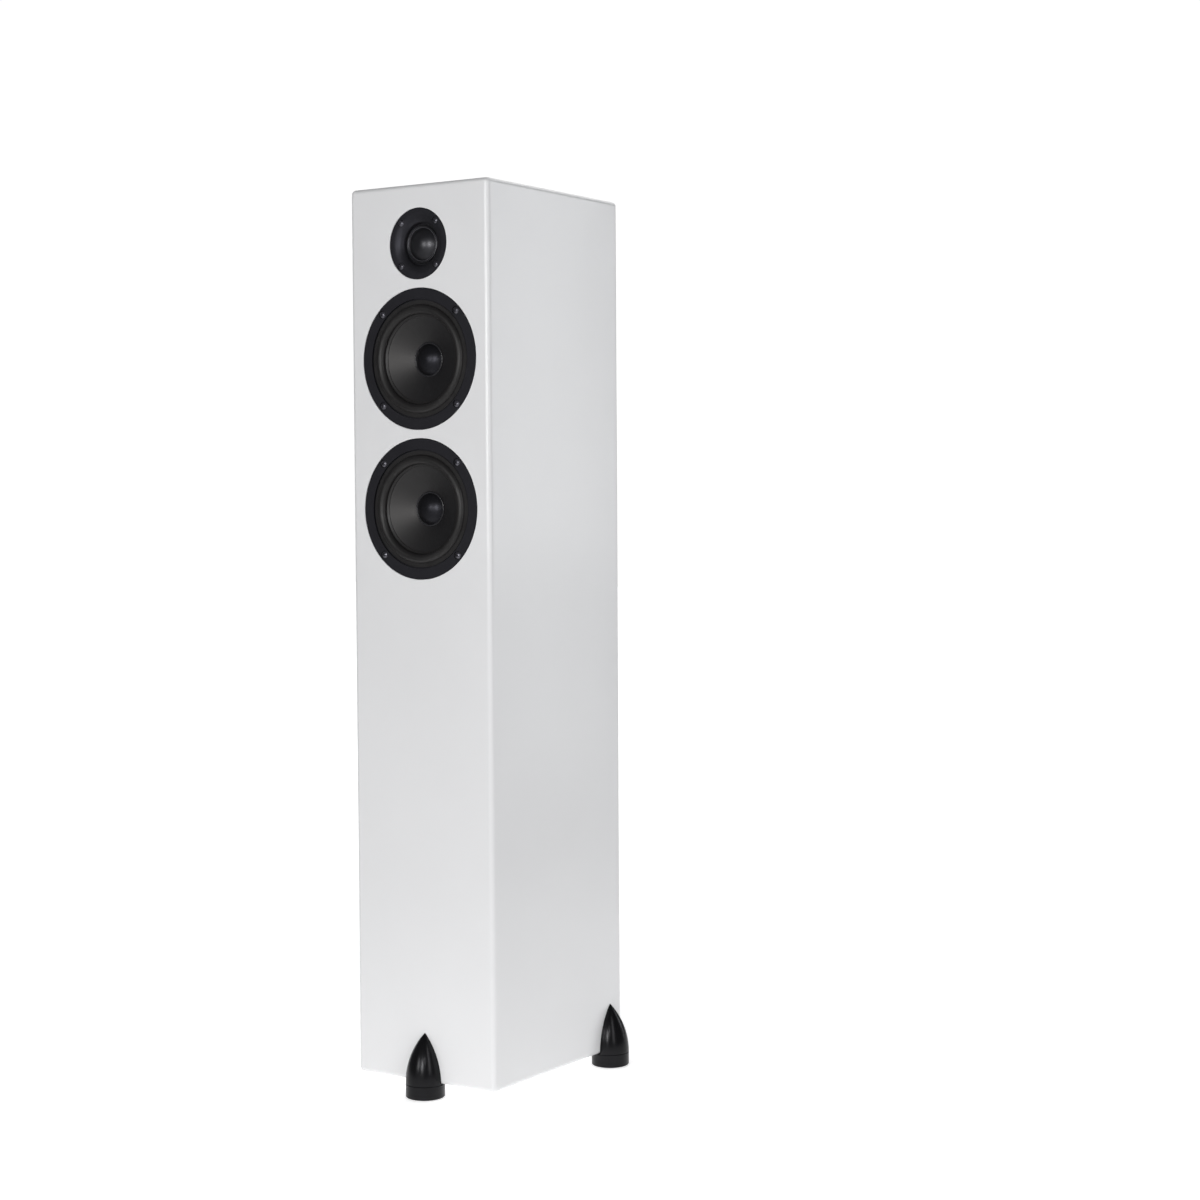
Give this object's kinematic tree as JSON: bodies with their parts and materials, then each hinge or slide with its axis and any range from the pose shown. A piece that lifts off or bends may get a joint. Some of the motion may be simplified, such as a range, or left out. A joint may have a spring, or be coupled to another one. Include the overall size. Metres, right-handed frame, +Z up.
{
  "type": "floorstanding speaker",
  "caption": "Slim white floorstanding speaker with a soft-dome tweeter above woofers, a rear reflex port and binding posts, on black half-bullet claw feet.",
  "frame": {"origin": "centre of the bounding box's footprint, on the floor", "axes": "+Z up, -Y out of the front baffle, +X to the right as seen from the front"},
  "size_m": [0.212, 0.2736, 0.915],
  "materials": {
    "cabinet_lacquer": "satin",
    "fibreboard": "matte",
    "felt": "matte",
    "gasket_foam": "matte",
    "terminal_brass": "polished",
    "black_steel": "satin",
    "port_plastic": "matte",
    "plate_aluminium": "satin",
    "red_plastic": "gloss",
    "knob_plastic": "gloss",
    "board_laminate": "satin",
    "coil_copper": "satin",
    "capacitor_film": "gloss",
    "resistor_ceramic": "matte",
    "lead_jacket": "satin",
    "foot_black": "satin",
    "pad_rubber": "matte",
    "faceplate_plastic": "satin",
    "dome_fabric": "satin",
    "motor_steel": "satin",
    "ferrite": "matte",
    "basket_aluminium": "matte",
    "surround_rubber": "matte",
    "cone_paper": "matte",
    "spider_cloth": "matte"
  },
  "bodies": {
    "cabinet": {"binding_post_studs": "terminal_brass", "bottom_panel": "cabinet_lacquer", "crossover_board": "board_laminate", "crossover_capacitors": "capacitor_film", "crossover_fixings": "black_steel", "crossover_inductors": "coil_copper", "crossover_resistor": "resistor_ceramic", "damping_felt": "felt", "driver_gaskets": "gasket_foam", "driver_terminals": "terminal_brass", "foot_bolts": "black_steel", "foot_pads": "pad_rubber", "front_baffle": "cabinet_lacquer", "front_foot": "foot_black", "input_leads": "lead_jacket", "left_rear_foot": "foot_black", "left_side_panel": "cabinet_lacquer", "lower_woofer_basket": "basket_aluminium", "lower_woofer_magnet": "ferrite", "lower_woofer_spider": "spider_cloth", "lower_woofer_surround": "surround_rubber", "lower_woofer_top_plate": "motor_steel", "lower_woofer_yoke": "motor_steel", "port_tube": "port_plastic", "post_collars": "port_plastic", "rear_panel": "cabinet_lacquer", "right_rear_foot": "foot_black", "right_side_panel": "cabinet_lacquer", "terminal_plate": "plate_aluminium", "terminal_plate_screws": "black_steel", "top_panel": "cabinet_lacquer", "tweeter_faceplate": "faceplate_plastic", "tweeter_lead": "lead_jacket", "tweeter_magnet": "ferrite", "tweeter_rear_cup": "port_plastic", "tweeter_screws": "black_steel", "tweeter_surround": "dome_fabric", "tweeter_top_plate": "motor_steel", "tweeter_yoke": "motor_steel", "upper_woofer_basket": "basket_aluminium", "upper_woofer_magnet": "ferrite", "upper_woofer_spider": "spider_cloth", "upper_woofer_surround": "surround_rubber", "upper_woofer_top_plate": "motor_steel", "upper_woofer_yoke": "motor_steel", "window_braces": "fibreboard", "woofer_leads": "lead_jacket", "woofer_screws": "black_steel"},
    "tweeter_diaphragm": {"tweeter_dome": "dome_fabric", "tweeter_voice_coil": "coil_copper"},
    "upper_woofer_diaphragm": {"upper_woofer_cone": "cone_paper", "upper_woofer_dust_cap": "cone_paper", "upper_woofer_voice_coil": "coil_copper"},
    "lower_woofer_diaphragm": {"lower_woofer_cone": "cone_paper", "lower_woofer_dust_cap": "cone_paper", "lower_woofer_voice_coil": "coil_copper"},
    "positive_clamp_washer": {"positive_washer": "red_plastic"},
    "positive_clamp_knob": {"positive_knob": "red_plastic"},
    "negative_clamp_washer": {"negative_washer": "knob_plastic"},
    "negative_clamp_knob": {"negative_knob": "knob_plastic"}
  },
  "joints": [
    {"name": "tweeter_stroke", "type": "slide", "parent": "cabinet", "child": "tweeter_diaphragm", "axis": [0, -1, 0], "range_m": [-0.0005, 0.0005], "stiffness_N_per_m": 600, "deforming": ["tweeter_surround"]},
    {"name": "upper_woofer_stroke", "type": "slide", "parent": "cabinet", "child": "upper_woofer_diaphragm", "axis": [0, -1, 0], "range_m": [-0.004, 0.004], "stiffness_N_per_m": 1000, "deforming": ["upper_woofer_surround", "upper_woofer_spider"]},
    {"name": "lower_woofer_stroke", "type": "slide", "parent": "cabinet", "child": "lower_woofer_diaphragm", "axis": [0, -1, 0], "range_m": [-0.004, 0.004], "stiffness_N_per_m": 1000, "deforming": ["lower_woofer_surround", "lower_woofer_spider"]},
    {"name": "positive_washer_travel", "type": "slide", "parent": "cabinet", "child": "positive_clamp_washer", "axis": [0, 1, 0], "range_m": [0, 0.006]},
    {"name": "positive_knob_turn", "type": "hinge", "parent": "positive_clamp_washer", "child": "positive_clamp_knob", "pos_m": [0.00953, 0.12615, 0.1], "axis": [0, 1, 0], "range_deg": [0, 2160]},
    {"name": "negative_washer_travel", "type": "slide", "parent": "cabinet", "child": "negative_clamp_washer", "axis": [0, 1, 0], "range_m": [0, 0.006]},
    {"name": "negative_knob_turn", "type": "hinge", "parent": "negative_clamp_washer", "child": "negative_clamp_knob", "pos_m": [-0.00953, 0.12615, 0.1], "axis": [0, 1, 0], "range_deg": [0, 2160]}
  ],
  "couplings": [
    {"joint": "positive_knob_turn", "follows": "positive_washer_travel", "rad_per_m": 6283.2},
    {"joint": "negative_knob_turn", "follows": "negative_washer_travel", "rad_per_m": 6283.2}
  ]
}
